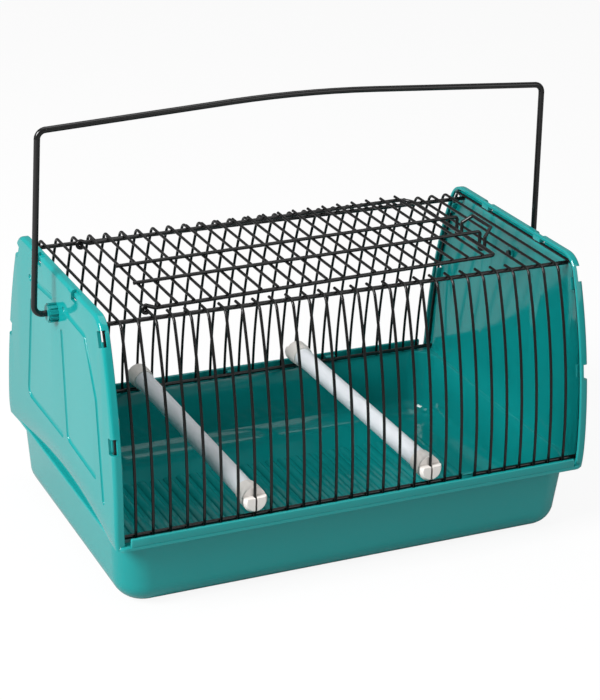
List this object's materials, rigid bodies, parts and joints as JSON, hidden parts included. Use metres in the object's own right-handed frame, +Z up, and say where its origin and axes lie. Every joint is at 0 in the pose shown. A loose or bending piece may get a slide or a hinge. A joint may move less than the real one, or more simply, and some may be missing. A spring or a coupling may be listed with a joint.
{
  "type": "bird travel carrier",
  "caption": "Small bird travel carrier: moulded tub with end walls, bent wire grille, wire top door on an eye hinge, wire handle and clip-in perches.",
  "frame": {"origin": "on the table, under the middle of the carrier", "axes": "+X along the length, from the door's hinge end to its free end; +Y to the rear; +Z up"},
  "size_m": [0.3252, 0.1986, 0.2602],
  "materials": {
    "shell": "glossy moulded",
    "bush": "moulded",
    "wire": "black coated",
    "perch": "smooth",
    "clip": "moulded"
  },
  "bodies": {
    "carrier": {"tub": "shell", "bush_left": "bush", "bush_right": "bush", "front_top_rod": "wire", "rear_top_rod": "wire", "front_bottom_rod": "wire", "rear_bottom_rod": "wire", "left_wires": "wire", "hinge_wire": "wire", "right_wires": "wire", "front_wires": "wire", "rear_wires": "wire", "perch_left": "perch", "perch_right": "perch", "perch_left_clips": "clip", "perch_right_clips": "clip"},
    "door": {"door_frame": "wire", "door_wires": "wire", "door_grip": "wire"},
    "handle": {"handle": "wire"}
  },
  "joints": [
    {"name": "handle_swing", "type": "hinge", "parent": "carrier", "child": "handle", "pos_m": [0, 0, 0.145], "axis": [1, 0, 0], "range_deg": [-110, 110]},
    {"name": "door_hinge", "type": "hinge", "parent": "carrier", "child": "door", "pos_m": [-0.115, 0, 0.1627], "axis": [0, -1, 0], "range_deg": [-1.2, 18]}
  ]
}
